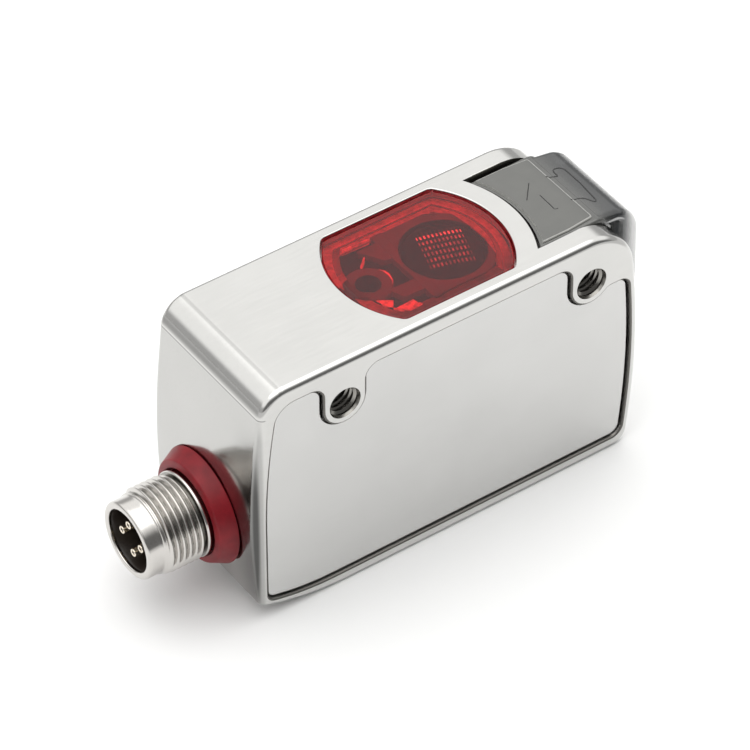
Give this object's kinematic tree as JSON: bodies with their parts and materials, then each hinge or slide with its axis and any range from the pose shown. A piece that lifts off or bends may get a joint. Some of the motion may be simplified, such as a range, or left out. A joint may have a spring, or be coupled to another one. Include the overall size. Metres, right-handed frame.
{
  "type": "laser photoelectric sensor",
  "caption": "Small steel block sensor with a red front window, side cover plates, a smoked display cap and a round threaded plug.",
  "frame": {"origin": "centre of the bounding box's underside, on the flat back face", "axes": "+X from the plug towards the display cap, +Y across the body to the far side cover, +Z out of the front window"},
  "size_m": [0.0494, 0.015, 0.0254],
  "materials": {
    "satin_steel": "satin, lightly brushed along the body",
    "turned_steel": "turned, fine rings",
    "red_window": "clear red plastic, glossy",
    "smoked_plastic": "smoke grey clear plastic, glossy",
    "lens_glass": "clear",
    "clear_guide": "clear plastic",
    "ring_red": "satin red",
    "dark_holder": "matt black",
    "insert_black": "matt black",
    "chip_black": "matt black",
    "seal_rubber": "matt black",
    "barrel_brass": "turned",
    "pin_gold": "gold plated",
    "board_green": "green solder resist",
    "lamp_green": "clear green lamp body",
    "lamp_yellow": "clear yellow lamp body"
  },
  "bodies": {
    "root": {"housing": "satin_steel", "near_side_cover": "satin_steel", "far_side_cover": "satin_steel", "front_window": "red_window", "optics_holder": "dark_holder", "receiver_lens": "lens_glass", "emitter_lens": "lens_glass", "receiver_chip": "chip_black", "laser_barrel": "barrel_brass", "laser_diode": "turned_steel", "optics_board": "board_green", "optics_screw_1": "turned_steel", "optics_screw_2": "turned_steel", "main_board": "board_green", "link_header": "chip_black", "processor_chip": "chip_black", "driver_chip": "chip_black", "led_board": "board_green", "status_led_green": "lamp_green", "status_led_yellow": "lamp_yellow", "light_guide": "clear_guide", "indicator_cap": "smoked_plastic", "connector_shell": "turned_steel", "connector_ring": "ring_red", "connector_oring": "seal_rubber", "connector_insert": "insert_black", "contact_pin_1": "pin_gold", "contact_pin_2": "pin_gold", "contact_pin_3": "pin_gold", "contact_pin_4": "pin_gold", "connector_nut": "turned_steel", "connector_board": "board_green"}
  },
  "joints": []
}
